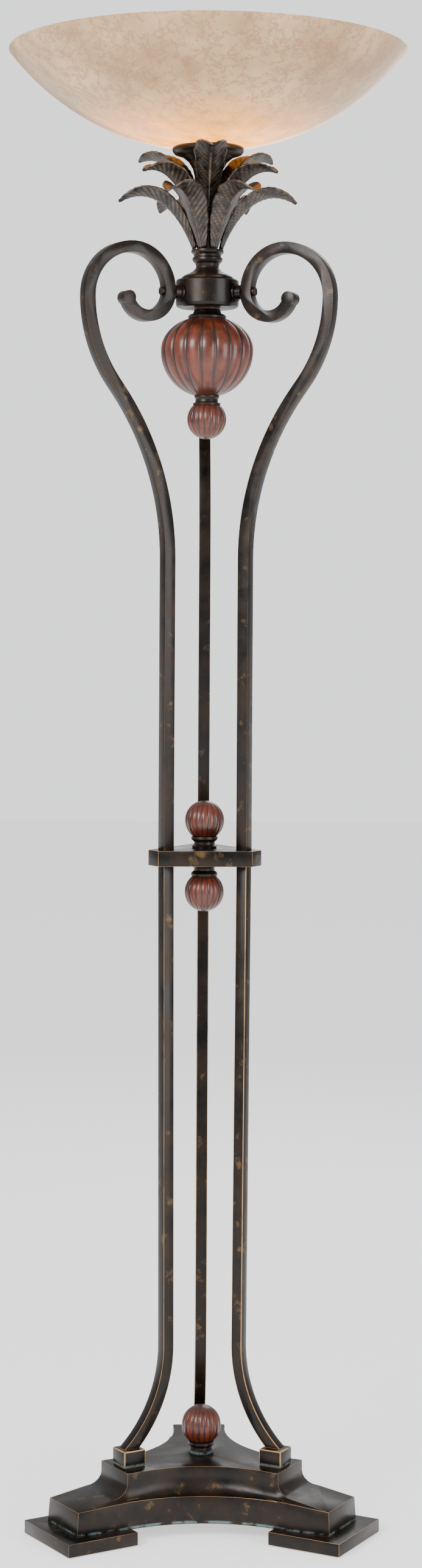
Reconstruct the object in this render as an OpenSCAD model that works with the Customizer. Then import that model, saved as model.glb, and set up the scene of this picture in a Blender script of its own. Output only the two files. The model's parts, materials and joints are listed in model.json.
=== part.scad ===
// Torchiere floor lamp: three scroll legs on a cast plinth, a leaf crown and a glass bowl.
// Millimetres, +Z up, origin on the floor under the middle of the lamp.
// The three arms of the lamp point to the azimuths in ARMS: one to the rear and two to the front.

/* [Plinth and feet] */
// Distance from the axis to the end of a plinth arm
arm_reach = 194; // [180:1:215]
// Half width of a plinth arm at its end
arm_half_w = 36; // [30:1:40]
// Distance from the axis to the edge of the top deck, along an arm
deck_reach = 124; // [120:1:132]
// Half width of the top deck at the end of an arm
deck_half_w = 32.6; // [28:0.2:34]
// Distance from the axis to the middle of a hollow side, at the ledge
ledge_waist = 76; // [72:1:90]
// Distance from the axis to the middle of a hollow side, at the top deck
deck_waist = 59.5; // [56:0.5:66]
// Height of the top deck over the underside of the plinth
plinth_h = 64.5; // [54:0.5:80]
// Height of the upright edge wall under the ledge
ledge_h = 32.8; // [26:0.2:38]
// Wall of the hollow casting
plinth_wall = 9; // [6:1:12]
// Length of a foot along its arm
foot_len = 95; // [80:1:110]
// Width of a foot
foot_w = 112; // [90:1:124]
// Thickness of a foot
foot_t = 15.5; // [12:0.5:24]
// Thickness of the felt under a foot
felt_t = 1.5; // [1:0.5:3]

/* [Legs] */
// Side of the square leg bar
bar = 14.2; // [12:0.2:17]
// Distance from the axis to a leg where it passes the middle plate
leg_r = 55.5; // [50:0.5:62]
// Radius of the sweep at the bottom of a leg
foot_sweep_r = 165; // [140:5:200]
// Radius of the long outward sweep under the scroll
flare_r = 332; // [300:1:350]
// Angle of the outward sweep
flare_a = 38; // [32:0.5:42]
// Radius of the first quarter of the scroll
scroll_r = 62; // [58:1:72]
// Side of the square shoe under a leg
shoe_w = 30; // [24:1:34]
// Height of a shoe
shoe_h = 20.8; // [15:0.2:28]
// Height of the underside of the middle plate
mid_z = 814; // [700:1:900]
// Height at which the legs start to flare
flare_z = 1192.5; // [1150:0.5:1240]

/* [Middle plate] */
// Thickness of the middle plate
mid_t = 19; // [16:1:28]
// Distance from the axis to a cut corner of the middle plate
mid_reach = 73.6; // [70:0.2:84]
// Half width of a cut corner
mid_half_w = 12; // [10:1:18]

/* [Beads] */
// Radius of a small fluted bead
bead_r = 24.5; // [20:0.1:28]
// Height of the turned collar under a small bead
collar_h = 15; // [10:0.5:18]
// Radius of the large fluted urn
urn_r = 58; // [50:1:66]
// Height from the widest part of the urn to its top
urn_up = 40; // [34:1:46]
// Height from the widest part of the urn to its bottom
urn_down = 56; // [48:1:62]

/* [Hub and crown] */
// Radius of the hub
hub_r = 39.2; // [34:0.2:42]
// Height of the hub
hub_h = 35; // [26:1:38]
// Height of the turned neck over the hub
neck_h = 37; // [38:1:50]
// Reach of a lower leaf from the axis
low_leaf_reach = 111; // [95:1:125]
// Reach of a middle leaf from the axis
mid_leaf_reach = 95; // [85:1:105]
// Reach of an upper leaf from the axis
top_leaf_reach = 96; // [90:1:110]
// Thickness of a cast leaf
leaf_t = 2.6; // [2:0.1:3.5]
// Half width of a leaf at its widest
leaf_half_w = 15; // [12:0.5:17]

/* [Bowl and lamp holder] */
// Radius of the bowl at its rim
bowl_r = 248; // [225:1:270]
// Radius of the sphere that the bowl is cut from
bowl_sphere_r = 315; // [295:1:330]
// Thickness of the glass
glass_t = 5; // [4:0.5:8]
// Radius of the bowl's centre hole
bowl_hole_r = 21; // [20:0.5:24]
// Radius of the trumpet cup that carries the bowl
cup_r = 44.8; // [40:0.2:52]
// Radius of the lamp holder
holder_r = 17; // [15:0.5:18]
// Radius of the bulb
bulb_r = 30; // [25:1:34]
// Length of the bulb's glass
bulb_h = 68; // [60:1:74]

/* [Hidden] */
$fn = 96;

ARMS = [90, 210, 330];
bronze = [0.16, 0.11, 0.08];
slack = 0.05;            // running clearance of the switch shaft
fit = 0.2;               // radial clearance of a bolt or pipe in its hole

// heights of the stack, from the floor up
plinth_z = felt_t + foot_t;
deck_z = plinth_z + plinth_h;
shoe_z = deck_z + shoe_h;
mid_top_z = mid_z + mid_t;

// each step of a leg is [radius, turn]; a radius of 0 goes straight for the second number
scroll_tip_r = 28;
scroll_steps = [[scroll_r, 90], [0.83 * scroll_r, 90], [0.516 * scroll_r, 90], [scroll_tip_r, 75]];
lean = atan((leg_r - 52) / (mid_z - 222));         // the lower legs lean out a little
foot_sweep_a = 46.5;
foot_sweep_h = foot_sweep_r * (sin(foot_sweep_a) + sin(lean));
upper_turn_r = 170;
flare_run = 13.2;

// where the scroll comes nearest to the axis, which sets the hub's height
flare_top_z = flare_z + flare_r * sin(flare_a) + flare_run * cos(flare_a) + upper_turn_r * sin(flare_a);
hub_mid_z = flare_top_z + scroll_r - 0.83 * scroll_r;
hub_z = hub_mid_z - hub_h / 2;
neck_z = hub_z + hub_h;
crown_z = neck_z + neck_h;
hub_collar_h = 13;
urn_mid_z = hub_z - hub_collar_h - urn_up;
urn_neck_z = urn_mid_z - urn_down;
urn_neck_h = 12;
pendant_z = urn_neck_z - urn_neck_h - sqrt(bead_r * bead_r - 17 * 17);

// the crown, the cup and the bowl stand on the neck
cup_h = 128;
cup_z = crown_z + cup_h;
seat_gap = 1.7;                                       // from the cup's lip to the bowl's lowest point
bowl_centre_z = cup_z - seat_gap + bowl_sphere_r;
bowl_rim_z = bowl_centre_z - sqrt(bowl_sphere_r * bowl_sphere_r - bowl_r * bowl_r);
dish_d = 6;                                           // depth of the cup's dish
dish_z = cup_z - dish_d;
dish_r = cup_r - 4.5;
stem_r = 12;
throat_r = 17;
throat_z = cup_z - 35;
pipe_r = 5;
holder_h = 52;
holder_z = dish_z;
switch_z = holder_z + 24;
contact_z = holder_z + 30;
holder_top_z = holder_z + holder_h;
cap_r = 13;
knob_r = 6.5;
shaft_r = 2;

// ---------------------------------------------------------------- shared shapes

// the child once for every arm
module on_arms() {
    for (a = ARMS) rotate([0, 0, a]) children();
}

// a straight round bar of two radii along +Z
module tube(r, h, bore = 0) {
    difference() {
        cylinder(r = r, h = h);
        if (bore > 0) translate([0, 0, -1]) cylinder(r = bore, h = h + 2);
    }
}

// a solid skinned over rings of the same number of points, with a middle point for each end
module skin(rings, low_mid, top_mid) {
    n = len(rings[0]);
    m = len(rings);
    sides = [for (i = [0 : m - 2], j = [0 : n - 1], half = [0, 1])
        let (a = i * n + j, b = i * n + (j + 1) % n)
        half == 0 ? [a, a + n, b] : [b, a + n, b + n]];
    low = [for (j = [0 : n - 1]) [m * n, j, (j + 1) % n]];
    top = [for (j = [0 : n - 1]) [m * n + 1, (m - 1) * n + (j + 1) % n, (m - 1) * n + j]];
    polyhedron(points = concat([for (ring = rings, p = ring) p], [low_mid, top_mid]),
               faces = concat(sides, low, top));
}

// an ellipse's radius at the height dz over its middle
function ellipse_r(r, half_h, dz) = r * sqrt(max(0, 1 - pow(dz / half_h, 2)));

// a leg's centre line is a list of [x, z, heading], with the heading from +Z towards +X.
// A positive turn bends it towards -X.
function arc_points(p, r, turn, steps) = let (side = sign(turn))
    [for (i = [1 : steps]) let (b = p[2] - turn * i / steps)
        [p[0] + side * r * (cos(b) - cos(p[2])), p[1] + side * r * (sin(p[2]) - sin(b)), b]];
function path_points(p, steps, i = 0) = i >= len(steps) ? [p] :
    let (s = steps[i],
         next = s[0] == 0
            ? [[p[0] + s[1] * sin(p[2]), p[1] + s[1] * cos(p[2]), p[2]]]
            : arc_points(p, s[0], s[1], ceil(abs(s[1]) / (s[0] > 120 ? 2 : 6))),
         last = len(next) - 1)
    concat([p], last > 0 ? [for (j = [0 : last - 1]) next[j]] : [], path_points(next[last], steps, i + 1));

// a square bar of the width w along a centre line in the XZ plane
module bar_along(path, w) {
    outline = concat([for (q = path) [q[0] - cos(q[2]) * w / 2, q[1] + sin(q[2]) * w / 2]],
        [for (i = [len(path) - 1 : -1 : 0]) let (q = path[i])
            [q[0] + cos(q[2]) * w / 2, q[1] - sin(q[2]) * w / 2]]);
    translate([0, w / 2, 0]) rotate([90, 0, 0]) linear_extrude(height = w) polygon(outline);
}

// ---------------------------------------------------------------- plinth and feet

// one ring of the plinth: for each hollow side its arc from knee to knee, then the end of the next arm
function plinth_ring(reach, half_w, knee_u, knee_v, waist, z_end, z_side) =
    let (k = from_side(knee_u, knee_v),
         cx = (k[0] * k[0] + k[1] * k[1] - waist * waist) / (2 * (k[0] - waist)),
         r = cx - waist,
         a = asin(k[1] / r))
    [for (h = [30, 150, 270]) each
        concat([for (i = [-6 : 6]) turned([cx - r * cos(a * i / 6), r * sin(a * i / 6)], h, z_side)],
               [for (v = [half_w, -half_w]) turned(from_side(reach, v), h, z_end)])];

// a point u along the next arm and v beside it, as seen from the middle of a hollow side
function from_side(u, v) = [cos(60) * u + sin(60) * v, sin(60) * u - cos(60) * v];
function turned(p, h, z) = [cos(h) * p[0] - sin(h) * p[1], sin(h) * p[0] + cos(h) * p[1], z];

ledge_z = plinth_z + ledge_h;
arm_top_z = ledge_z - 4;
cove_steps = 5;
module plinth_shape() {
    knee_u = 146;
    cove = [for (i = [0 : cove_steps]) let (a = 90 * i / cove_steps, out = 1 - sin(a), up = 1 - cos(a))
        plinth_ring(deck_reach + 21 * out, deck_half_w + 2 * out,
                    deck_reach - 6 + 14 * out, deck_half_w + 0.6 + 7 * out,
                    deck_waist + (ledge_waist - 2 - deck_waist) * out,
                    ledge_z + 3.5 + (deck_z - 12 - ledge_z - 3.5) * up,
                    ledge_z + 0.8 + (deck_z - 10 - ledge_z - 0.8) * up)];
    skin(concat(
        [plinth_ring(arm_reach + 2, arm_half_w + 1, knee_u, arm_half_w + 7, ledge_waist + 1, plinth_z, plinth_z),
         plinth_ring(arm_reach, arm_half_w, knee_u, arm_half_w + 6, ledge_waist, arm_top_z, ledge_z)],
        cove,
        [plinth_ring(deck_reach, deck_half_w, deck_reach - 6, deck_half_w + 0.6, deck_waist, deck_z, deck_z)]),
        [0, 0, plinth_z], [0, 0, deck_z]);
}

cavity_r = deck_waist - plinth_wall;
cavity_h = plinth_h - plinth_wall;
cover_t = 2;
cover_r = cavity_r + 6;
lead_r = 4;                     // radius of the holes that the supply lead passes
bushing_r = 6.5;
bushing_at = 30;                // distance of the cord's exit from the axis, towards the rear
shoe_r = leg_r + (foot_sweep_r * (cos(lean) - cos(foot_sweep_a)))
    - (mid_z - shoe_z - foot_sweep_h) * tan(lean);
foot_screw_r = 2.5;
foot_screw_u = [150, 178];
foot_in = arm_reach + 24 - foot_len;

module plinth() {
    color(bronze) difference() {
        plinth_shape();
        translate([0, 0, plinth_z - 1]) cylinder(r = cavity_r, h = cavity_h + 1);
        translate([0, 0, plinth_z - 1]) cylinder(r = cover_r + 0.5, h = cover_t + 1);
        translate([0, 0, deck_z - plinth_wall - 1]) cylinder(r = tie_r + fit, h = plinth_wall + 2);
        on_arms() for (u = foot_screw_u)
            translate([u, 0, plinth_z - 1]) cylinder(r = foot_screw_r - 0.2, h = 15);
        for (a = [30, 150, 270]) rotate([0, 0, a])
            translate([cavity_r + 3, 0, plinth_z + cover_t - 1]) cylinder(r = 1.3, h = 11);
    }
}

module foot() {
    color(bronze) difference() {
        translate([foot_in, -foot_w / 2, felt_t]) cube([foot_len, foot_w, foot_t]);
        for (u = foot_screw_u) translate([u, 0, 0]) {
            cylinder(r = foot_screw_r + fit, h = 2 * plinth_z);
            cylinder(r = 6, h = felt_t + 6);
        }
    }
}

module felt_pads() {
    color("darkgreen") on_arms() difference() {
        translate([foot_in + 4, 4 - foot_w / 2, 0]) cube([foot_len - 8, foot_w - 8, felt_t]);
        for (u = foot_screw_u) translate([u, 0, -1]) cylinder(r = 8, h = 2 * felt_t + 2);
    }
}

module foot_screws() {
    color("silver") on_arms() for (u = foot_screw_u) translate([u, 0, felt_t + 3]) {
        cylinder(r = 5, h = 3);
        translate([0, 0, 3]) cylinder(r = foot_screw_r - 0.2, h = foot_t + 5);
    }
}

ballast_h = 34;
module ballast() {
    color("dimgray") translate([0, 0, plinth_z + cover_t]) difference() {
        cylinder(r = cavity_r - 1, h = ballast_h);
        translate([0, 0, -1]) cylinder(r = 14, h = ballast_h + 2);
        rotate([0, 0, 90]) translate([bushing_at, 0, -1]) cylinder(r = bushing_r + 5, h = ballast_h + 2);
    }
}

module bottom_cover() {
    color("dimgray") difference() {
        translate([0, 0, plinth_z]) cylinder(r = cover_r, h = cover_t);
        rotate([0, 0, 90]) translate([bushing_at, 0, 0]) cylinder(r = bushing_r, h = 100);
        for (a = [30, 150, 270]) rotate([0, 0, a]) translate([cavity_r + 3, 0, 0]) cylinder(r = 1.7, h = 100);
    }
}

module cover_screws() {
    color("silver") for (a = [30, 150, 270]) rotate([0, 0, a]) translate([cavity_r + 3, 0, plinth_z]) {
        translate([0, 0, -1.6]) cylinder(r = 2.8, h = 1.6);
        cylinder(r = 1.3, h = 11);
    }
}

module cord_bushing() {
    color("black") rotate([0, 0, 90]) translate([bushing_at, 0, plinth_z]) difference() {
        union() {
            translate([0, 0, -2.5]) cylinder(r = bushing_r + 2.5, h = 2.5);
            cylinder(r = bushing_r, h = cover_t);
            translate([0, 0, cover_t]) cylinder(r = bushing_r + 1.5, h = 2);
        }
        translate([0, 0, -5]) cylinder(r = lead_r, h = 20);
    }
}

// ---------------------------------------------------------------- legs

module leg_shoe() {
    color(bronze) translate([shoe_r - shoe_w / 2, -shoe_w / 2, deck_z]) cube([shoe_w, shoe_w, shoe_h]);
}

// the lower leg's centre line runs past both ends, which are then cut level
lower_start = [shoe_r + 16 * sin(foot_sweep_a), shoe_z - 16 * cos(foot_sweep_a), -foot_sweep_a];
lower_path = path_points(lower_start, [[0, 16], [foot_sweep_r, -foot_sweep_a - lean],
    [0, (mid_z - shoe_z - foot_sweep_h) / cos(lean) + 5]]);
stud_r = 3;
stud_depth = 22;
module lower_leg() {
    color(bronze) difference() {
        intersection() {
            bar_along(lower_path, bar);
            translate([0, -50, shoe_z]) cube([300, 100, mid_z - shoe_z]);
        }
        translate([leg_r, 0, mid_z - stud_depth]) cylinder(r = stud_r, h = stud_depth + 1);
    }
}

screw_r = 3;
boss_r = 9;
snub_r = 8.5;
upper_path = path_points([leg_r, mid_top_z, 0], concat([[0, flare_z - mid_top_z], [flare_r, -flare_a],
    [0, flare_run], [upper_turn_r, flare_a]], scroll_steps));
tip = upper_path[len(upper_path) - 1];
module upper_leg() {
    color(bronze) difference() {
        union() {
            bar_along(upper_path, bar);
            translate([tip[0], bar / 2 + 1.5, tip[1]]) rotate([90, 0, 0]) cylinder(r = snub_r, h = bar + 3);
        }
        translate([scroll_in - bar, 0, hub_mid_z]) rotate([0, 90, 0]) cylinder(r = screw_r + fit, h = 2 * bar);
        translate([leg_r, 0, mid_top_z - 1]) cylinder(r = stud_r, h = stud_depth + 1);
    }
}

// the studs that join an upper and a lower leg through the middle plate
module leg_studs() {
    color("silver") on_arms() translate([leg_r, 0, mid_z - stud_depth])
        cylinder(r = stud_r, h = mid_t + 2 * stud_depth);
}

// ---------------------------------------------------------------- middle plate and beads

tie_r = 3;
module middle_plate() {
    corners = [for (a = ARMS, s = [-1, 1])
        [cos(a) * mid_reach - s * sin(a) * mid_half_w, sin(a) * mid_reach + s * cos(a) * mid_half_w]];
    color(bronze) difference() {
        translate([0, 0, mid_z]) linear_extrude(height = mid_t) polygon(corners);
        translate([0, 0, mid_z - 1]) cylinder(r = tie_r + fit, h = mid_t + 2);
        on_arms() translate([leg_r, 0, mid_z - 1]) cylinder(r = stud_r + fit, h = mid_t + 2);
    }
}

// a turned collar: a foot, a waist and a top bead
module collar(h) {
    color(bronze) difference() {
        rotate_extrude() polygon([[0, 0], [15, 0], [15.4, 0.2 * h], [13, 0.34 * h], [12.8, 0.55 * h],
            [15.2, 0.68 * h], [16.6, 0.8 * h], [16.2, h], [0, h]]);
        translate([0, 0, -1]) cylinder(r = tie_r + fit, h = h + 2);
    }
}

bead_seat_r = 14.2;
bead_lift = sqrt(bead_r * bead_r - bead_seat_r * bead_seat_r);
// a bead over the origin, cut level where it stands on its collar
module bead() {
    color("saddlebrown") difference() {
        translate([0, 0, bead_lift]) sphere(r = bead_r);
        translate([-50, -50, -100]) cube([100, 100, 100]);
        translate([0, 0, -1]) cylinder(r = tie_r, h = bead_lift + 9);
    }
}

module middle_tie_rod() {
    reach = collar_h + bead_lift + 6;
    color("silver") translate([0, 0, mid_z - reach]) cylinder(r = tie_r, h = mid_t + 2 * reach);
}

module base_tie_rod() {
    color("silver") {
        translate([0, 0, deck_z - plinth_wall - 12])
            cylinder(r = tie_r, h = plinth_wall + 12 + collar_h + bead_lift + 6);
        translate([0, 0, deck_z - plinth_wall - 1.5]) cylinder(r = 9, h = 1.5);
        translate([0, 0, deck_z - plinth_wall - 7.5]) cylinder(r = 6, h = 6, $fn = 6);
    }
}

// ---------------------------------------------------------------- hub, urn and pendant

pipe_hole = pipe_r + fit;
scroll_in = leg_r + flare_r * (1 - cos(flare_a)) + flare_run * sin(flare_a)
    + upper_turn_r * (1 - cos(flare_a)) - scroll_r - 0.83 * scroll_r;
module hub() {
    color(bronze) difference() {
        translate([0, 0, hub_z]) rotate_extrude() polygon([[0, 0], [hub_r - 4, 0], [hub_r - 1, 1.5],
            [hub_r, 5], [hub_r, hub_h - 2], [hub_r - 1.5, hub_h], [0, hub_h]]);
        translate([0, 0, hub_z - 1]) cylinder(r = pipe_hole, h = hub_h + 2);
        on_arms() translate([hub_r - 18, 0, hub_mid_z]) rotate([0, 90, 0]) cylinder(r = screw_r, h = 30);
    }
}

module hub_spacers() {
    color(bronze) on_arms() translate([0, 0, hub_mid_z]) rotate([0, 90, 0]) difference() {
        union() {
            translate([0, 0, hub_r]) cylinder(r = boss_r, h = scroll_in - bar / 2 - hub_r);
            translate([0, 0, hub_r]) cylinder(r = boss_r + 2.2, h = 2.4);
        }
        cylinder(r = screw_r + fit, h = 100);
    }
}

module hub_screws() {
    color("silver") on_arms() translate([0, 0, hub_mid_z]) rotate([0, 90, 0]) {
        translate([0, 0, hub_r - 16]) cylinder(r = screw_r, h = scroll_in + bar / 2 - hub_r + 17);
        // the head clears the hollow side of the scroll
        translate([0, 0, scroll_in + bar / 2 + 0.8]) cylinder(r = 5.2, h = 3);
    }
}

module hub_collar() {
    h = hub_collar_h;
    color(bronze) difference() {
        translate([0, 0, hub_z - h]) rotate_extrude() polygon([[0, 0], [23.5, 0], [24, 2.5], [22, 4.5],
            [18, 6], [16, h - 2], [16.5, h], [0, h]]);
        translate([0, 0, hub_z - h - 1]) cylinder(r = pipe_hole, h = h + 2);
    }
}

urn_top_half = 42.4 / 39 * urn_up;
urn_low_half = 57 / 55 * urn_down;
module urn() {
    steps = 12;
    color("saddlebrown") difference() {
        translate([0, 0, urn_mid_z]) rotate_extrude() polygon(concat([[0, -urn_down]],
            [for (i = [0 : steps]) let (z = -urn_down * (1 - sin(90 * i / steps)))
                [ellipse_r(urn_r, urn_low_half, z), z]],
            [for (i = [1 : steps]) let (z = urn_up * (1 - cos(90 * i / steps)))
                [ellipse_r(urn_r, urn_top_half, z), z]],
            [[0, urn_up]]));
        translate([0, 0, urn_neck_z - 1]) cylinder(r = pipe_hole, h = urn_up + urn_down + 2);
    }
}

module urn_neck() {
    h = urn_neck_h;
    color(bronze) difference() {
        translate([0, 0, urn_neck_z - h]) rotate_extrude() polygon([[0, 0], [17, 0], [17.2, 2.5], [14.5, 4],
            [14, 0.6 * h], [15.5, h - 2], [15.5, h], [0, h]]);
        translate([0, 0, urn_neck_z - h - 1]) cylinder(r = pipe_hole, h = h + 2);
    }
}

module pendant_bead() {
    seat_z = urn_neck_z - urn_neck_h;
    color("saddlebrown") difference() {
        translate([0, 0, pendant_z]) sphere(r = bead_r);
        translate([-50, -50, seat_z]) cube([100, 100, 100]);
        translate([0, 0, pendant_z - 8]) cylinder(r = pipe_r, h = 60);
    }
}

module neck() {
    h = neck_h;
    color(bronze) difference() {
        translate([0, 0, neck_z]) rotate_extrude() polygon([[0, 0], [31.5, 0], [32, 3], [29.5, 5],
            [24, 7.5], [18.5, 10.5], [15, 14], [14.3, 16.5], [15.2, 20], [17.5, 22], [19, 24.5],
            [18.8, 27], [17.2, 28.5], [17, 31], [20, h - 3.5], [20.5, h - 2], [20.2, h], [0, h]]);
        translate([0, 0, neck_z - 1]) cylinder(r = pipe_hole, h = h + 2);
    }
}

module centre_pipe() {
    bottom = pendant_z - 8;
    color("gold") difference() {
        translate([0, 0, bottom]) cylinder(r = pipe_r, h = dish_z + 6 - bottom);
        translate([0, 0, bottom + 4]) cylinder(r = pipe_r - 1.6, h = dish_z - bottom + 10);
    }
}

// ---------------------------------------------------------------- crown of leaves

low_seat_z = crown_z;
mid_seat_z = crown_z + 25;
top_seat_z = crown_z + 50;

module bowl_cup() {
    color(bronze) difference() {
        translate([0, 0, crown_z]) rotate_extrude() polygon([[0, 0], [stem_r, 0], [stem_r, 22], [19.5, 22],
            [19.5, 25], [stem_r, 25], [stem_r, 47], [19.5, 47], [19.5, 50], [stem_r, 50],
            [throat_r - 1.5, cup_h - 45], [throat_r, cup_h - 35], [19, cup_h - 27], [24, cup_h - 18.5],
            [32, cup_h - 12], [cup_r - 3, cup_h - 8.6], [cup_r - 0.6, cup_h - 5.5], [cup_r, cup_h - 2.4],
            [cup_r - 1.2, cup_h - 0.4], [cup_r - 2.4, cup_h], [dish_r, cup_h - 0.6],
            [dish_r - 1, cup_h - dish_d], [0, cup_h - dish_d]]);
        translate([0, 0, crown_z - 1]) cylinder(r = pipe_hole, h = cup_h + 2);
    }
}

function bezier(p, t) = pow(1 - t, 3) * p[0] + 3 * t * pow(1 - t, 2) * p[1]
    + 3 * t * t * (1 - t) * p[2] + t * t * t * p[3];
function bezier_heading(p, t) = let (d = 3 * (pow(1 - t, 2) * (p[1] - p[0])
    + 2 * t * (1 - t) * (p[2] - p[1]) + t * t * (p[3] - p[2]))) atan2(d[1], d[0]);

leaf_steps = 12;
leaf_yaw = 2;             // the crown is turned a little on its pipe
// half width and depth of the folded leaf along its keel
function leaf_w(t) = 4.5 + (leaf_half_w - 4.5) * sin(min(90, 150 * t)) - (t > 0.6 ? (leaf_half_w - 3)
    * pow((t - 0.6) / 0.4, 2.2) : 0);
function leaf_depth(t) = 3.5 + 9 * sin(min(90, 150 * t)) - (t > 0.6 ? 10 * pow((t - 0.6) / 0.4, 2.2) : 0);

// the middle of the leaf's thickness on the keel, at the foot (0) or the tip (1)
function leaf_mid(keel, t) = let (k = bezier(keel, t), h = bezier_heading(keel, t),
    n = t == 0 ? [-1, 0] : [-sin(h), cos(h)])
    [k[0] + n[0] * 0.65 * leaf_t, 0, k[1] + n[1] * 0.65 * leaf_t];

// a leaf folded along its keel, which lies below and outside, with its edges turned in and up
module leaf(keel) {
    color([0.22, 0.2, 0.19]) skin([for (i = [0 : leaf_steps]) let (
        t = i / leaf_steps,
        k = bezier(keel, t),
        h = bezier_heading(keel, t),
        // at the foot the section lies level, so that the leaf stands on its seat
        n = i == 0 ? [-1, 0] : [-sin(h), cos(h)],
        w = leaf_w(t),
        d = leaf_depth(t))
        [for (q = [[0, 0], [w, d], [w - 0.4 * leaf_t, d + 0.3 * leaf_t], [0, leaf_t * 1.3],
                   [-w + 0.4 * leaf_t, d + 0.3 * leaf_t], [-w, d]])
            [k[0] + n[0] * q[1], q[0], k[1] + n[1] * q[1]]]],
        leaf_mid(keel, 0), leaf_mid(keel, 1));
}

module leaf_at(azimuth, seat_z, start_r, reach, rise, droop) {
    run = reach - start_r;
    rotate([0, 0, azimuth + leaf_yaw]) leaf([[start_r, seat_z], [start_r + 0.2 * run, seat_z + 0.56 * rise],
        [start_r + 0.55 * run, seat_z + rise], [reach, seat_z + droop * rise]]);
}
module low_leaf(i) {
    leaf_at(60 * i, low_seat_z, 19.5, low_leaf_reach, 82, 0.7);
}
module mid_leaf(i) {
    leaf_at(ARMS[i - 1], mid_seat_z, 18.5, mid_leaf_reach, 84, 0.84);
}
module top_leaf(i) {
    leaf_at(ARMS[i - 1] + 60, top_seat_z, 18.5, top_leaf_reach, 82, 0.86);
}

// ---------------------------------------------------------------- bowl and lamp holder

module at_bowl_centre() {
    translate([0, 0, bowl_centre_z]) children();
}

module glass_bowl() {
    color([0.85, 0.72, 0.56]) difference() {
        at_bowl_centre() sphere(r = bowl_sphere_r);
        at_bowl_centre() sphere(r = bowl_sphere_r - glass_t);
        translate([-400, -400, bowl_rim_z]) cube([800, 800, 800]);
        translate([0, 0, cup_z - 20]) cylinder(r = bowl_hole_r, h = 40);
    }
}

// how far a sphere about the bowl's centre lies over its own lowest point, at the distance d
function sag(r, d) = r - sqrt(r * r - d * d);
bowl_low_z = bowl_centre_z - bowl_sphere_r;

module bowl_gasket() {
    color("black") rotate_extrude() polygon([[bowl_hole_r - 1, dish_z], [dish_r - 4, dish_z],
        [dish_r - 4, bowl_low_z + sag(bowl_sphere_r, dish_r - 4) - 0.15],
        [bowl_hole_r - 1, bowl_low_z + sag(bowl_sphere_r, bowl_hole_r - 1) - 0.15]]);
}

module retainer_ring() {
    low = bowl_low_z + glass_t;
    inner_r = holder_r + 0.3;
    outer_r = holder_r + 12;
    color("gold") rotate_extrude() polygon([[inner_r, low + sag(bowl_sphere_r - glass_t, inner_r)],
        [outer_r, low + sag(bowl_sphere_r - glass_t, outer_r)], [outer_r, low + 5], [inner_r, low + 6]]);
}

shell_r = 14.2;
module holder_body() {
    color("gold") difference() {
        translate([0, 0, holder_z]) cylinder(r = holder_r, h = holder_h);
        translate([0, 0, holder_z + 6.5]) cylinder(r = 13, h = 12);
        translate([0, 0, contact_z]) cylinder(r = shell_r + 0.8, h = holder_h);
        translate([0, 0, holder_z - 1]) cylinder(r = pipe_hole, h = 20);
        translate([0, 0, switch_z]) rotate([90, 0, 0]) cylinder(r = shaft_r + slack, h = 30);
    }
}

module holder_screw_shell() {
    color("gold") difference() {
        translate([0, 0, contact_z]) cylinder(r = shell_r + 0.8, h = holder_h - 32);
        translate([0, 0, contact_z + 1.5]) cylinder(r = shell_r - 0.6, h = holder_h);
    }
}

module switch_shaft() {
    color("silver") translate([0, -3, switch_z]) rotate([90, 0, 0]) cylinder(r = shaft_r, h = 24);
}

module switch_knob() {
    color("black") translate([0, -27, switch_z]) rotate([90, 0, 0]) difference() {
        union() {
            cylinder(r = knob_r, h = 11);
            translate([-knob_r + 1, -1.6, 10]) cube([2 * knob_r - 2, 3.2, 6]);
        }
    }
}

module bulb_cap() {
    color("silver") {
        translate([0, 0, contact_z + 1.6]) cylinder(r = 5, h = 2);
        translate([0, 0, contact_z + 3.6]) cylinder(r1 = 9, r2 = cap_r, h = 3);
        translate([0, 0, contact_z + 6.6]) cylinder(r = cap_r, h = holder_top_z - contact_z - 4.6);
    }
}

module bulb() {
    low = holder_top_z + 2;
    ball_z = low + bulb_h - bulb_r;
    color("white") rotate_extrude() polygon(concat([[0, low], [cap_r - 0.5, low], [cap_r + 0.5, low + 6],
        [cap_r + 4, low + 15]],
        [for (a = [-38 : 8 : 82]) [bulb_r * cos(a), ball_z + bulb_r * sin(a)]], [[0, ball_z + bulb_r]]));
}

// ---------------------------------------------------------------- the assembly

plinth();
rotate([0, 0, ARMS[0]]) foot();  // foot_rear
rotate([0, 0, ARMS[1]]) foot();  // foot_left
rotate([0, 0, ARMS[2]]) foot();  // foot_right
felt_pads();
ballast();
bottom_cover();
cover_screws();
foot_screws();
cord_bushing();
rotate([0, 0, ARMS[0]]) leg_shoe();  // leg_shoe_rear
rotate([0, 0, ARMS[1]]) leg_shoe();  // leg_shoe_left
rotate([0, 0, ARMS[2]]) leg_shoe();  // leg_shoe_right
rotate([0, 0, ARMS[0]]) lower_leg();  // lower_leg_rear
rotate([0, 0, ARMS[1]]) lower_leg();  // lower_leg_left
rotate([0, 0, ARMS[2]]) lower_leg();  // lower_leg_right
rotate([0, 0, ARMS[0]]) upper_leg();  // upper_leg_rear
rotate([0, 0, ARMS[1]]) upper_leg();  // upper_leg_left
rotate([0, 0, ARMS[2]]) upper_leg();  // upper_leg_right
leg_studs();
middle_plate();
translate([0, 0, mid_top_z + collar_h]) bead();  // middle_bead_upper
translate([0, 0, mid_top_z]) collar(collar_h);  // middle_collar_upper
translate([0, 0, mid_z]) mirror([0, 0, 1]) collar(collar_h);  // middle_collar_lower
translate([0, 0, mid_z - collar_h]) mirror([0, 0, 1]) bead();  // middle_bead_lower
middle_tie_rod();
translate([0, 0, deck_z + collar_h]) bead();  // base_bead
translate([0, 0, deck_z]) collar(collar_h);  // base_collar
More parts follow.
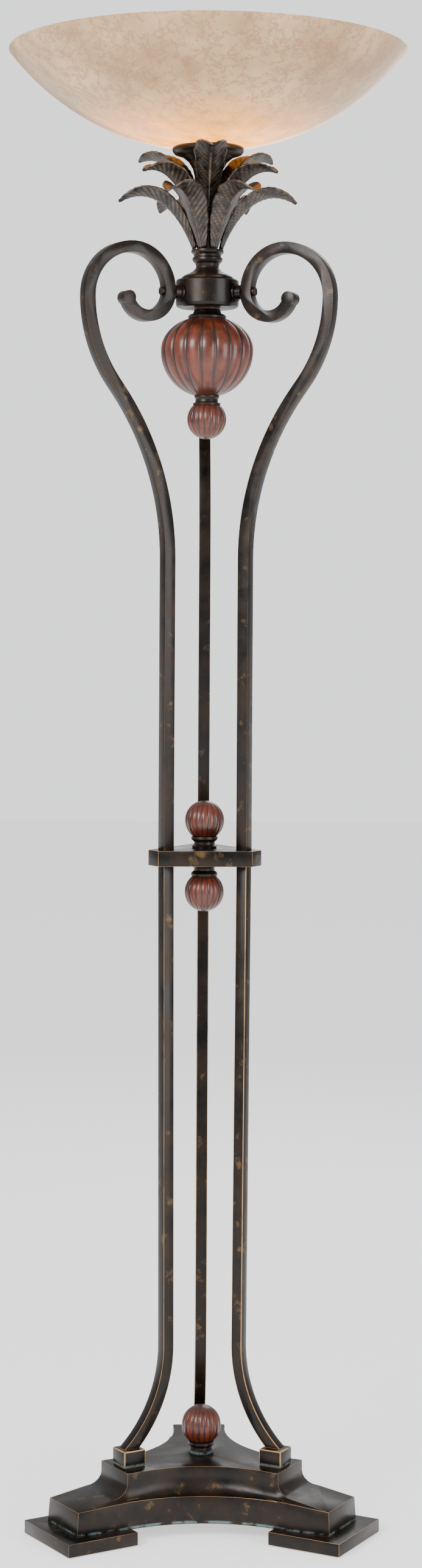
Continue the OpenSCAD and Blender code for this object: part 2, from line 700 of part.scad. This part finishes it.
base_tie_rod();
hub();
hub_spacers();
hub_screws();
hub_collar();
urn();
urn_neck();
pendant_bead();
neck();
centre_pipe();
bowl_cup();
for (i = [1 : 6]) low_leaf(i);
for (i = [1 : 3]) mid_leaf(i);
for (i = [1 : 3]) top_leaf(i);
glass_bowl();
bowl_gasket();
retainer_ring();
holder_body();
holder_screw_shell();
switch_shaft();
switch_knob();
bulb_cap();
bulb();
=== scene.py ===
# %% [markdown]
# # A torchiere floor lamp
# Three scroll legs stand on a cast plinth and carry a crown of leaves and a glass bowl. The
# solids come from the CAD frame, in metres. Here they get worn edges, flutes, veins and finishes.

# %% Load the frame
import json
import math
import bmesh
import bpy
from mathutils import Matrix, Vector


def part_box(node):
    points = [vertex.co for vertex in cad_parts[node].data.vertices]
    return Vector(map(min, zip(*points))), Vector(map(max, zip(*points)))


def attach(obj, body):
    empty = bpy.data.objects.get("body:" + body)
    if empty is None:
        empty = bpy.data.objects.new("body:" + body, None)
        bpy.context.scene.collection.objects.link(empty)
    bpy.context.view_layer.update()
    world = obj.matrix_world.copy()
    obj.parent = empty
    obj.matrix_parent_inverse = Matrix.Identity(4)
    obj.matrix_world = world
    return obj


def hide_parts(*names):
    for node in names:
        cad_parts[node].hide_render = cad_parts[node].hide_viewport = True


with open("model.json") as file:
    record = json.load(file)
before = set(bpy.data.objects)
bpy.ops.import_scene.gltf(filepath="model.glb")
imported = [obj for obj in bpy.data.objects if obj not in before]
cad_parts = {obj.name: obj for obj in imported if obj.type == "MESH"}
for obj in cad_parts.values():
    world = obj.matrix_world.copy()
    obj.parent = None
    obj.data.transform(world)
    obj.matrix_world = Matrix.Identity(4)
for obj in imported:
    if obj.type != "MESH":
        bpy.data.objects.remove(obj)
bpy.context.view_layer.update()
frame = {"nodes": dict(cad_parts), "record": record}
NODES = frame["nodes"]
SLOTS = {row["node"]: row["material_slot"] for row in frame["record"]["subparts"]}

# %% [markdown]
# A lamp this tall is seen best with a long lens at chest height. The camera stays level, so that
# the legs don't lean together, and a lens shift takes in the plinth, as on a view camera.

# %% Camera
DISTANCE, EYE_HEIGHT = 3.593, 1.1264
YAW, ROLL = math.radians(1.5), math.radians(0.31)
LENS, SHIFT = 66.3, (0.0034, -0.1094)
camera = bpy.data.objects.new("Camera", bpy.data.cameras.new("Camera"))
bpy.context.scene.collection.objects.link(camera)
camera.data.sensor_width = 36
camera.data.lens = LENS
camera.data.shift_x, camera.data.shift_y = SHIFT
camera.matrix_world = (
    Matrix.Translation((-DISTANCE * math.sin(YAW), -DISTANCE * math.cos(YAW), EYE_HEIGHT))
    @ Matrix.Rotation(-YAW, 4, "Z") @ Matrix.Rotation(math.pi / 2, 4, "X")
    @ Matrix.Rotation(ROLL, 4, "Z"))
bpy.context.scene.camera = camera
print("camera lens", camera.data.lens)

# %% [markdown]
# The studio is a pale floor, a large soft light on each side and a pale sky that fills the
# shadows.

# %% Floor and lights
LIGHT_AIM = Vector((0, 0, 0.9))
SKY_COLOUR, SKY_FILL, SKY_SEEN = (0.96, 0.97, 0.98, 1), 0.6, 1.6
FLOOR_HALF = 12


def soft_light(name, place, size, power):
    data = bpy.data.lights.new(name, "AREA")
    data.energy, data.size = power, size
    light = bpy.data.objects.new(name, data)
    bpy.context.scene.collection.objects.link(light)
    turn = (LIGHT_AIM - Vector(place)).to_track_quat("-Z", "Y")
    light.matrix_world = Matrix.Translation(place) @ turn.to_matrix().to_4x4()


soft_light("KeyLight", (-2.2, -2.6, 2.6), 1.6, 150)
soft_light("FillLight", (2.6, -2.2, 1.4), 2.0, 70)
soft_light("BackLight", (0.6, 2.6, 2.2), 1.6, 22)
world = bpy.data.worlds.new("Studio")
world.use_nodes = True
sky = world.node_tree.nodes["Background"]
sky.inputs["Color"].default_value = SKY_COLOUR
light_path = world.node_tree.nodes.new("ShaderNodeLightPath")
sky_strength = world.node_tree.nodes.new("ShaderNodeMapRange")
sky_strength.inputs["To Min"].default_value = SKY_FILL
sky_strength.inputs["To Max"].default_value = SKY_SEEN
world.node_tree.links.new(light_path.outputs["Is Camera Ray"], sky_strength.inputs["Value"])
world.node_tree.links.new(sky_strength.outputs["Result"], sky.inputs["Strength"])
bpy.context.scene.world = world

floor_mesh = bmesh.new()
bmesh.ops.create_grid(floor_mesh, x_segments=1, y_segments=1, size=FLOOR_HALF)
floor_data = bpy.data.meshes.new("Floor")
floor_mesh.to_mesh(floor_data)
floor_mesh.free()
floor = bpy.data.objects.new("Floor", floor_data)
bpy.context.scene.collection.objects.link(floor)
print("lights and floor are placed")

# %% [markdown]
# Mottling is what makes cast metal and old paint look real: a broad cloud of tone and a fine
# grain. It is a node group, so each finish can use it with its own scale.

# %% The mottle group
def new_group(name, inputs, outputs):
    group = bpy.data.node_groups.new(name, "ShaderNodeTree")
    new_socket = group.interface.new_socket
    for label, value in inputs:
        new_socket(name=label, in_out="INPUT", socket_type="NodeSocketFloat").default_value = value
    for label in outputs:
        new_socket(name=label, in_out="OUTPUT", socket_type="NodeSocketFloat")
    return group, group.nodes.new("NodeGroupInput"), group.nodes.new("NodeGroupOutput")


def math_node(tree, operation, first, second=None, clamp=False):
    node = tree.nodes.new("ShaderNodeMath")
    node.operation, node.use_clamp = operation, clamp
    for socket, value in zip(node.inputs, (first, second)):
        if isinstance(value, (int, float)):
            socket.default_value = value
        elif value is not None:
            tree.links.new(value, socket)
    return node.outputs[0]


def noise(tree, scale, detail=4.0, roughness=0.6):
    place = tree.nodes.new("ShaderNodeTexCoord")
    node = tree.nodes.new("ShaderNodeTexNoise")
    node.inputs["Detail"].default_value = detail
    node.inputs["Roughness"].default_value = roughness
    tree.links.new(place.outputs["Object"], node.inputs["Vector"])
    if isinstance(scale, (int, float)):
        node.inputs["Scale"].default_value = scale
    else:
        tree.links.new(scale, node.inputs["Scale"])
    return node.outputs[0]


GRAIN_SCALE = 900.0
MOTTLE, mottle_in, mottle_out = new_group(
    "Mottle", [("Scale", 20.0), ("Contrast", 3.0)], ["Cloud", "Grain"])
cloud = math_node(MOTTLE, "SUBTRACT", noise(MOTTLE, mottle_in.outputs["Scale"]), 0.5)
cloud = math_node(MOTTLE, "MULTIPLY", cloud, mottle_in.outputs["Contrast"])
MOTTLE.links.new(math_node(MOTTLE, "ADD", cloud, 0.5, clamp=True), mottle_out.inputs["Cloud"])
MOTTLE.links.new(noise(MOTTLE, GRAIN_SCALE, 2.0), mottle_out.inputs["Grain"])
print("group", MOTTLE.name)

# %% [markdown]
# Verdigris gathers where two castings meet. This group finds a height over the floor, where a
# seam runs level around the base, and breaks the line up with noise.

# %% The seam group
SEAM, seam_in, seam_out = new_group("Seam", [("Height", 0.017), ("Width", 0.002)], ["Mask"])
seam_place = SEAM.nodes.new("ShaderNodeTexCoord")
seam_axes = SEAM.nodes.new("ShaderNodeSeparateXYZ")
SEAM.links.new(seam_place.outputs["Object"], seam_axes.inputs[0])
away = math_node(SEAM, "SUBTRACT", seam_axes.outputs["Z"], seam_in.outputs["Height"])
away = math_node(SEAM, "DIVIDE", math_node(SEAM, "ABSOLUTE", away), seam_in.outputs["Width"])
near = math_node(SEAM, "SUBTRACT", 1.0, away, clamp=True)
broken = math_node(SEAM, "SUBTRACT", noise(SEAM, 70.0), 0.42)
broken = math_node(SEAM, "MULTIPLY", broken, 9.0, clamp=True)
SEAM.links.new(math_node(SEAM, "MULTIPLY", near, broken), seam_out.inputs["Mask"])
print("group", SEAM.name)

# %% [markdown]
# Paint, bronze and glass all start from the same few nodes: a group set to its own scale, two
# colours mixed by a mask, an attribute read from the mesh, and a grain that bumps the surface.

# %% Helpers for materials
GRAIN_DEPTH = 0.0004
ROUGHNESS_SPREAD = 0.15


def place_group(tree, group, **values):
    node = tree.nodes.new("ShaderNodeGroup")
    node.node_tree = group
    for label, value in values.items():
        node.inputs[label].default_value = value
    return node.outputs


def mix_colour(tree, mask, first, second):
    node = tree.nodes.new("ShaderNodeMix")
    node.data_type = "RGBA"
    tree.links.new(mask, node.inputs["Factor"])
    for socket, value in ((node.inputs[6], first), (node.inputs[7], second)):
        if isinstance(value, tuple):
            socket.default_value = (*value, 1)
        else:
            tree.links.new(value, socket)
    return node.outputs[2]


def attribute(tree, name):
    node = tree.nodes.new("ShaderNodeAttribute")
    node.attribute_name = name
    return node.outputs["Fac"]


def bump(tree, shader, height, strength, distance):
    node = tree.nodes.new("ShaderNodeBump")
    node.inputs["Strength"].default_value = strength
    node.inputs["Distance"].default_value = distance
    tree.links.new(height, node.inputs["Height"])
    tree.links.new(node.outputs["Normal"], shader.inputs["Normal"])


def new_material(name, dark, light, scale, roughness, metallic=0.0, contrast=3.0, grain=0.15):
    """A mottled finish. Returns the material, its tree, shader, colour and mottle outputs."""
    material = bpy.data.materials.new(name)
    material.use_nodes = True
    tree = material.node_tree
    shader = tree.nodes["Principled BSDF"]
    shader.inputs["Metallic"].default_value = metallic
    mottle = place_group(tree, MOTTLE, Scale=scale, Contrast=contrast)
    colour = mix_colour(tree, mottle["Cloud"], dark, light)
    tree.links.new(colour, shader.inputs["Base Color"])
    rough = math_node(tree, "MULTIPLY_ADD", mottle["Cloud"], ROUGHNESS_SPREAD)
    rough.node.inputs[2].default_value = roughness - 0.07
    tree.links.new(rough, shader.inputs["Roughness"])
    bump(tree, shader, mottle["Grain"], grain, GRAIN_DEPTH)
    return material, tree, shader, colour, mottle


# %% [markdown]
# Most of the lamp is painted a bronze that is nearly black, rubbed to gold along the edges. Real
# edges catch the polish, so the worn line follows an attribute that each bevel leaves on its
# middle vertices.

# %% Bronze paint
VERDIGRIS = (0.13, 0.19, 0.20)
BASE_SEAMS = ((0.0192, 0.0021), (0.0838, 0.0022))  # height and width of each level seam


def bronze_material(name, dark, light, gold):
    material, tree, shader, colour = new_material(name, dark, light, 28.0, 0.33, 0.25, 3.5)[:4]
    shader.inputs["Specular IOR Level"].default_value = 0.35
    patches = math_node(tree, "SUBTRACT", noise(tree, 55.0, 6.0), 0.60)
    patches = math_node(tree, "MULTIPLY", patches, 7.0, clamp=True)
    patches = math_node(tree, "MULTIPLY", patches, 0.16)
    broken = math_node(tree, "SUBTRACT", noise(tree, 24.0), 0.26)
    broken = math_node(tree, "MULTIPLY", broken, 4.5, clamp=True)
    rubbed = math_node(tree, "MULTIPLY", attribute(tree, "wear"), broken)
    rubbed = math_node(tree, "MAXIMUM", rubbed, patches)
    colour = mix_colour(tree, rubbed, colour, gold)
    for height, width in BASE_SEAMS:
        seam = place_group(tree, SEAM, Height=height, Width=width)["Mask"]
        colour = mix_colour(tree, seam, colour, VERDIGRIS)
    tree.links.new(colour, shader.inputs["Base Color"])
    return material


BRONZE = bronze_material(
    "BronzePaint", (0.003, 0.0018, 0.0012), (0.018, 0.009, 0.004), (0.62, 0.36, 0.14))
print("material", BRONZE.name)

# %% [markdown]
# The leaves are the same bronze with a pale highlight painted along the keel and the vein ridges.
# The beads are a polished red-brown, with painted shade darkening their flute floors and their
# poles.

# %% Leaf bronze and mahogany
VEIN_PAINTED_HIGHLIGHT, GROOVE_PAINTED_SHADE = (0.16, 0.125, 0.10), (0.012, 0.009, 0.008)
LEAF, leaf_tree, leaf_shader, leaf_colour, leaf_mottle = new_material(
    "LeafBronze", (0.006, 0.004, 0.003), (0.028, 0.018, 0.012), 90.0, 0.32, 0.4)
# Painted highlight: a pale colour along the keel, the tip edges and the raised vein ridges of each
# leaf.
vein_highlight_mask = math_node(leaf_tree, "MULTIPLY", attribute(leaf_tree, "vein"), leaf_mottle["Cloud"])
leaf_colour = mix_colour(leaf_tree, vein_highlight_mask, leaf_colour, VEIN_PAINTED_HIGHLIGHT)
leaf_tree.links.new(leaf_colour, leaf_shader.inputs["Base Color"])

BEAD, bead_tree, bead_shader, bead_colour = new_material(
    "MahoganyBead", (0.05, 0.007, 0.0025), (0.155, 0.025, 0.007), 45.0, 0.38)[:4]
# Painted shade: a near-black colour darkens the flute floors and the poles of each bead.
bead_colour = mix_colour(bead_tree, attribute(bead_tree, "groove_shade"), bead_colour, GROOVE_PAINTED_SHADE)
bead_tree.links.new(bead_colour, bead_shader.inputs["Base Color"])
bead_shader.inputs["Coat Weight"].default_value = 0.25
bead_shader.inputs["Coat Roughness"].default_value = 0.15
print("materials", LEAF.name, BEAD.name)

# %% [markdown]
# The bowl is thick alabaster glass: amber and cream clouds with thin pale veins. The lamp inside
# warms its lowest part, so a soft glow fades out from the middle.

# %% Alabaster glass
GLASS_VEIN, DIM_GLOW, HOT_GLOW = (0.26, 0.13, 0.06), (0.008, 0.004, 0.0015), (1.0, 0.36, 0.05)
GLOW_TOP, GLOW_DEPTH, GLOW_FALL, GLOW_STRENGTH = 1.765, 0.062, 2.8, 4.5

GLASS, glass_tree, glass_shader, glass_colour = new_material(
    "AlabasterGlass", (0.33, 0.19, 0.08), (0.62, 0.40, 0.21), 11.0, 0.3, 0.0, 3.0, 0.02)[:4]
vein = math_node(glass_tree, "SUBTRACT", noise(glass_tree, 40.0, 5.0, 0.7), 0.5)
vein = math_node(glass_tree, "MULTIPLY", math_node(glass_tree, "ABSOLUTE", vein), 28.0)
vein = math_node(glass_tree, "SUBTRACT", 1.0, vein, clamp=True)
vein = math_node(glass_tree, "MULTIPLY", vein, 0.75)
glass_colour = mix_colour(glass_tree, vein, glass_colour, GLASS_VEIN)
glass_tree.links.new(glass_colour, glass_shader.inputs["Base Color"])
glass_place = glass_tree.nodes.new("ShaderNodeTexCoord")
glass_axes = glass_tree.nodes.new("ShaderNodeSeparateXYZ")
glass_tree.links.new(glass_place.outputs["Object"], glass_axes.inputs[0])
low = math_node(glass_tree, "SUBTRACT", GLOW_TOP, glass_axes.outputs["Z"])
low = math_node(glass_tree, "MULTIPLY", low, 1 / GLOW_DEPTH, clamp=True)
patchy = math_node(glass_tree, "MULTIPLY_ADD", noise(glass_tree, 34.0), 0.7)
patchy.node.inputs[2].default_value = 0.65
low = math_node(glass_tree, "MULTIPLY", low, patchy, clamp=True)
low = math_node(glass_tree, "POWER", low, GLOW_FALL)
glow = mix_colour(glass_tree, low, DIM_GLOW, HOT_GLOW)
glass_tree.links.new(glow, glass_shader.inputs["Emission Color"])
glass_shader.inputs["Emission Strength"].default_value = GLOW_STRENGTH
glass_shader.inputs["Coat Weight"].default_value = 0.15
print("material", GLASS.name)

# %% [markdown]
# The other pieces have plain finishes with a faint mottle: felt, steel, painted iron, rubber,
# brass and a frosted bulb. Each CAD node gets the finish that its slot names, and the floor glows
# a little so that it stays pale.

# %% Plain finishes
FLOOR_GLOW = 0.85


def plain(name, dark, light, roughness, metallic=0.0):
    return new_material(name, dark, light, 45.0, roughness, metallic)[0]


FINISHES = {
    "bronze": BRONZE, "leaf_bronze": LEAF, "mahogany_bead": BEAD, "bowl_glass": GLASS,
    "felt": plain("Felt", (0.01, 0.025, 0.012), (0.02, 0.045, 0.02), 0.95),
    "steel": plain("Steel", (0.35, 0.35, 0.35), (0.5, 0.5, 0.5), 0.35, 1.0),
    "iron": plain("PaintedIron", (0.02, 0.018, 0.016), (0.04, 0.036, 0.03), 0.6),
    "rubber": plain("Rubber", (0.015, 0.015, 0.015), (0.03, 0.03, 0.03), 0.75),
    "knob": plain("Knob", (0.012, 0.01, 0.008), (0.025, 0.02, 0.016), 0.45),
    "brass": plain("Brass", (0.45, 0.30, 0.10), (0.62, 0.44, 0.18), 0.3, 1.0),
    "bulb_glass": plain("FrostedBulb", (0.86, 0.84, 0.80), (0.93, 0.92, 0.90), 0.35),
    "floor": plain("PaleFloor", (0.93, 0.93, 0.93), (0.95, 0.95, 0.95), 0.8),
}
floor.data.materials.append(FINISHES["floor"])
floor_shader = FINISHES["floor"].node_tree.nodes["Principled BSDF"]
floor_shader.inputs["Emission Color"].default_value = (1, 1, 1, 1)
floor_shader.inputs["Emission Strength"].default_value = FLOOR_GLOW
for node_name, node in NODES.items():
    node.data.materials.clear()
    node.data.materials.append(FINISHES[SLOTS[node_name]])
print("finishes", len(FINISHES))

# %% [markdown]
# A new piece starts as a bmesh and ends as an object at the origin that rides on the lamp's body,
# with the finish of the CAD node that it stands for.

# %% Helper: from bmesh to piece
SMOOTH_UNDER = math.radians(32)


def piece(name, shape, node_name, body="lamp"):
    for face in shape.faces:
        face.smooth = True
    for edge in shape.edges:
        edge.smooth = not edge.is_manifold or edge.calc_face_angle(0) < SMOOTH_UNDER
    data = bpy.data.meshes.new(name)
    shape.to_mesh(data)
    shape.free()
    made = bpy.data.objects.new(name, data)
    bpy.context.scene.collection.objects.link(made)
    data.materials.append(FINISHES[SLOTS[node_name]])
    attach(made, body)
    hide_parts(node_name)
    return made


# %% [markdown]
# Every cast or forged piece has soft edges. A copy of the CAD mesh is merged, its flat faces are
# joined again, and its sharp edges are bevelled in two steps, with the worn line between the
# steps.

# %% Worn castings
FLAT_UNDER, SAME_POINT = math.radians(0.6), 2e-6


def worn_copy(node_name, width):
    shape = bmesh.new()
    shape.from_mesh(NODES[node_name].data)
    bmesh.ops.remove_doubles(shape, verts=shape.verts, dist=SAME_POINT)
    bmesh.ops.dissolve_limit(shape, angle_limit=FLAT_UNDER, verts=shape.verts, edges=shape.edges)
    wear = shape.verts.layers.float.new("wear")
    sharp = [e for e in shape.edges if e.is_manifold and e.calc_face_angle(0) > SMOOTH_UNDER]
    made = bmesh.ops.bevel(shape, geom=sharp, offset=width, offset_type="OFFSET", affect="EDGES",
                           segments=2, profile=0.5, material=-1, clamp_overlap=True)
    bevelled = set(made["faces"])
    for vert in made["verts"]:
        if vert.is_valid:
            vert[wear] = 1.0 if all(face in bevelled for face in vert.link_faces) else 0.0
    return piece("worn_" + node_name, shape, node_name)


BEVEL_WIDTHS = {"plinth": 0.0026, "foot_": 0.0020, "leg_shoe_": 0.0018, "lower_leg_": 0.0024,
                "upper_leg_": 0.0024, "middle_plate": 0.0018}
for node_name in sorted(NODES):
    if SLOTS[node_name] != "bronze":
        continue
    for start, width in BEVEL_WIDTHS.items():
        if node_name.startswith(start):
            print("worn", worn_copy(node_name, width).name)

# %% [markdown]
# The beads and the urn are carved with eighteen flutes. A sphere with many meridians is pressed
# in between the ribs, and the press fades towards the poles. An attribute marks the flute floors
# and the poles, which the material darkens as painted shade.

# %% Fluted beads
FLUTES, FLUTE_DEPTH = 18, 0.06
BEAD_RADIUS = 0.0245
URN_RADIUS, URN_SEAT, URN_UP, URN_DOWN = 0.058, 0.056, 0.0435, 0.058


def fluted_bead(node_name, radius, centre, up, down):
    shape = bmesh.new()
    bmesh.ops.create_uvsphere(shape, u_segments=FLUTES * 10, v_segments=44, radius=1.0)
    groove_shade = shape.verts.layers.float.new("groove_shade")
    lowest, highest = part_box(node_name)
    for vert in shape.verts:
        around, height = math.atan2(vert.co.y, vert.co.x), vert.co.z
        belly = math.sqrt(max(0.0, 1 - height * height))
        rib = abs(math.sin(around * FLUTES / 2))
        press = (1 - rib ** 0.45) * min(1.0, belly * 1.4)
        # This attribute is the mask of painted shade, over the flute floors and towards the poles.
        vert[groove_shade] = min(1.0, max(press * 1.15, (abs(height) - 0.62) * 2.0))
        vert.co.x *= radius * (1 - FLUTE_DEPTH * press)
        vert.co.y *= radius * (1 - FLUTE_DEPTH * press)
        vert.co.z = min(max(centre + height * (up if height > 0 else down), lowest.z), highest.z)
    return piece("fluted_" + node_name, shape, node_name)


for node_name in ("middle_bead_upper", "base_bead", "middle_bead_lower", "pendant_bead"):
    lowest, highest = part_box(node_name)
    hanging = node_name in ("middle_bead_lower", "pendant_bead")
    centre = lowest.z + BEAD_RADIUS if hanging else highest.z - BEAD_RADIUS
    print("fluted", fluted_bead(node_name, BEAD_RADIUS, centre, BEAD_RADIUS, BEAD_RADIUS).name)
urn_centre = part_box("urn")[0].z + URN_SEAT
print("fluted", fluted_bead("urn", URN_RADIUS, urn_centre, URN_UP, URN_DOWN).name)

# %% [markdown]
# Each leaf is a strip that follows a curve up and out from the neck. Its halves fold up from the
# keel, its edge is lobed, and its veins run from the keel to the edge. Solidify then gives the
# cast thickness.

# %% Leaves
STEM_HALF, BLADE_HALF = 0.0045, 0.0150
STEM_FOLD, BLADE_FOLD = 0.0035, 0.009
LOBE_TURNS, LOBE_DEPTH = 36, 0.05
VEIN_TURNS, VEIN_LEAN, VEIN_HEIGHT = 52, 7, 0.0008
LEAF_WALL = 0.0022
STEP = 0.01


def curve_point(points, t):
    near, far = 1 - t, t
    weights = (near ** 3, 3 * near * near * far, 3 * near * far * far, far ** 3)
    return tuple(sum(w * p[i] for w, p in zip(weights, points)) for i in (0, 1))


def leaf_piece(node_name, azimuth, seat, start, reach, rise, droop):
    run = reach - start
    keel = [(start, seat), (start + 0.2 * run, seat + 0.56 * rise),
            (start + 0.55 * run, seat + rise), (reach, seat + droop * rise)]
    shape = bmesh.new()
    bmesh.ops.create_grid(shape, x_segments=48, y_segments=20, size=1.0)
    vein = shape.verts.layers.float.new("vein")
    turn = Matrix.Rotation(math.radians(azimuth + 2), 3, "Z")
    for vert in shape.verts:
        t, side = min(1.0, max(0.0, (vert.co.x + 1) / 2)), vert.co.y
        x, z = curve_point(keel, t)
        x2, z2 = curve_point(keel, min(1.0, t + STEP))
        x1, z1 = curve_point(keel, max(0.0, t - STEP))
        long = math.hypot(x2 - x1, z2 - z1)
        normal = (-(z2 - z1) / long, (x2 - x1) / long)
        swell = math.sin(min(math.pi / 2, t * 2.6))
        taper = max(0.0, (t - 0.5) / 0.5) ** 2.6
        tip = math.sqrt(max(0.0, 1 - (max(0.0, t - 0.82) / 0.181) ** 2))
        lobes = 1 + LOBE_DEPTH * math.sin(t * LOBE_TURNS) * swell
        half = (STEM_HALF + BLADE_HALF * swell) * (1 - 0.62 * taper) * lobes * tip
        fold = (STEM_FOLD + BLADE_FOLD * swell) * (1 - 0.9 * max(0.0, (t - 0.5) / 0.5) ** 2)
        rib = abs(math.sin(t * VEIN_TURNS - abs(side) * VEIN_LEAN))
        lift = fold * abs(side) ** 1.4 + VEIN_HEIGHT * rib * swell
        # The vein attribute marks where the leaf material paints a pale highlight: the keel, the
        # tip edges and the raised vein ridges.
        keel_line = max(0.0, 1 - abs(side) * 9, (abs(side) - 0.86) * 6 * t)
        vert[vein] = min(1.0, max(keel_line, (rib ** 4) * min(1.0, abs(side) * 3)) * 0.9)
        vert.co = turn @ Vector((x + normal[0] * lift, half * side, z + normal[1] * lift))
    made = piece("veined_" + node_name, shape, node_name)
    wall = made.modifiers.new("CastWall", "SOLIDIFY")
    wall.thickness, wall.offset = LEAF_WALL, 0.0
    return made


CROWN = 1.577
ARMS = (90, 210, 330)
LOW_ROW = {"seat": CROWN + 0.001, "start": 0.018, "reach": 0.110, "rise": 0.082, "droop": 0.70}
MID_ROW = {"seat": CROWN + 0.026, "start": 0.0175, "reach": 0.095, "rise": 0.078, "droop": 0.82}
TOP_ROW = {"seat": CROWN + 0.051, "start": 0.0175, "reach": 0.097, "rise": 0.074, "droop": 0.87}
leaves = [leaf_piece(f"low_leaf_{i + 1}", 60 * (i + 1), **LOW_ROW) for i in range(6)]
for i, arm in enumerate(ARMS):
    leaves.append(leaf_piece(f"mid_leaf_{i + 1}", arm, **MID_ROW))
    leaves.append(leaf_piece(f"top_leaf_{i + 1}", arm + 60, **TOP_ROW))
print("leaves", len(leaves))

# %% [markdown]
# The bowl's wall is one smooth shell. The sharp rim of the solid is rounded as fire polish does
# it.

# %% Glass bowl
RIM_RADIUS, INNER_RADIUS, THROAT_RADIUS = 0.248, 0.2425, 0.0212
SPHERE, WALL = 0.315, 0.005
POLISHED_RIM = ((0.2440, -0.0003), (0.2462, 0.0))  # radius, and height from the rim
RINGS, SIDES = 40, 160
RIM_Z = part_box("glass_bowl")[1].z
BOWL_CENTRE = RIM_Z + math.sqrt(SPHERE ** 2 - RIM_RADIUS ** 2)
bowl = bmesh.new()
bmesh.ops.create_circle(bowl, cap_ends=False, segments=SIDES, radius=RIM_RADIUS)


def ring_edges(shape, edges, radius, height):
    """Extrudes a ring of edges, and sets the new ring's radius and height."""
    grown = bmesh.ops.extrude_edge_only(shape, edges=edges)["geom"]
    for vert in (g for g in grown if isinstance(g, bmesh.types.BMVert)):
        flat = Vector((vert.co.x, vert.co.y, 0)).normalized() * radius
        vert.co = Vector((flat.x, flat.y, height))
    return [g for g in grown if isinstance(g, bmesh.types.BMEdge)]


outer = [RIM_RADIUS + (THROAT_RADIUS - RIM_RADIUS) * i / RINGS for i in range(RINGS + 1)]
profile = [(r, BOWL_CENTRE - math.sqrt(SPHERE ** 2 - r * r)) for r in outer]
inner = [THROAT_RADIUS + (INNER_RADIUS - THROAT_RADIUS) * i / RINGS for i in range(RINGS + 1)]
profile += [(r, BOWL_CENTRE - math.sqrt((SPHERE - WALL) ** 2 - r * r)) for r in inner]
profile += [(r, RIM_Z + rise) for r, rise in POLISHED_RIM]
for vert in bowl.verts:
    vert.co.z = profile[0][1]
first_ring = list(bowl.edges)
ring = first_ring
for radius, height in profile[1:]:
    ring = ring_edges(bowl, ring, radius, height)
bmesh.ops.bridge_loops(bowl, edges=first_ring + ring)
bmesh.ops.recalc_face_normals(bowl, faces=bowl.faces)
print("bowl", piece("alabaster_bowl", bowl, "glass_bowl").name)
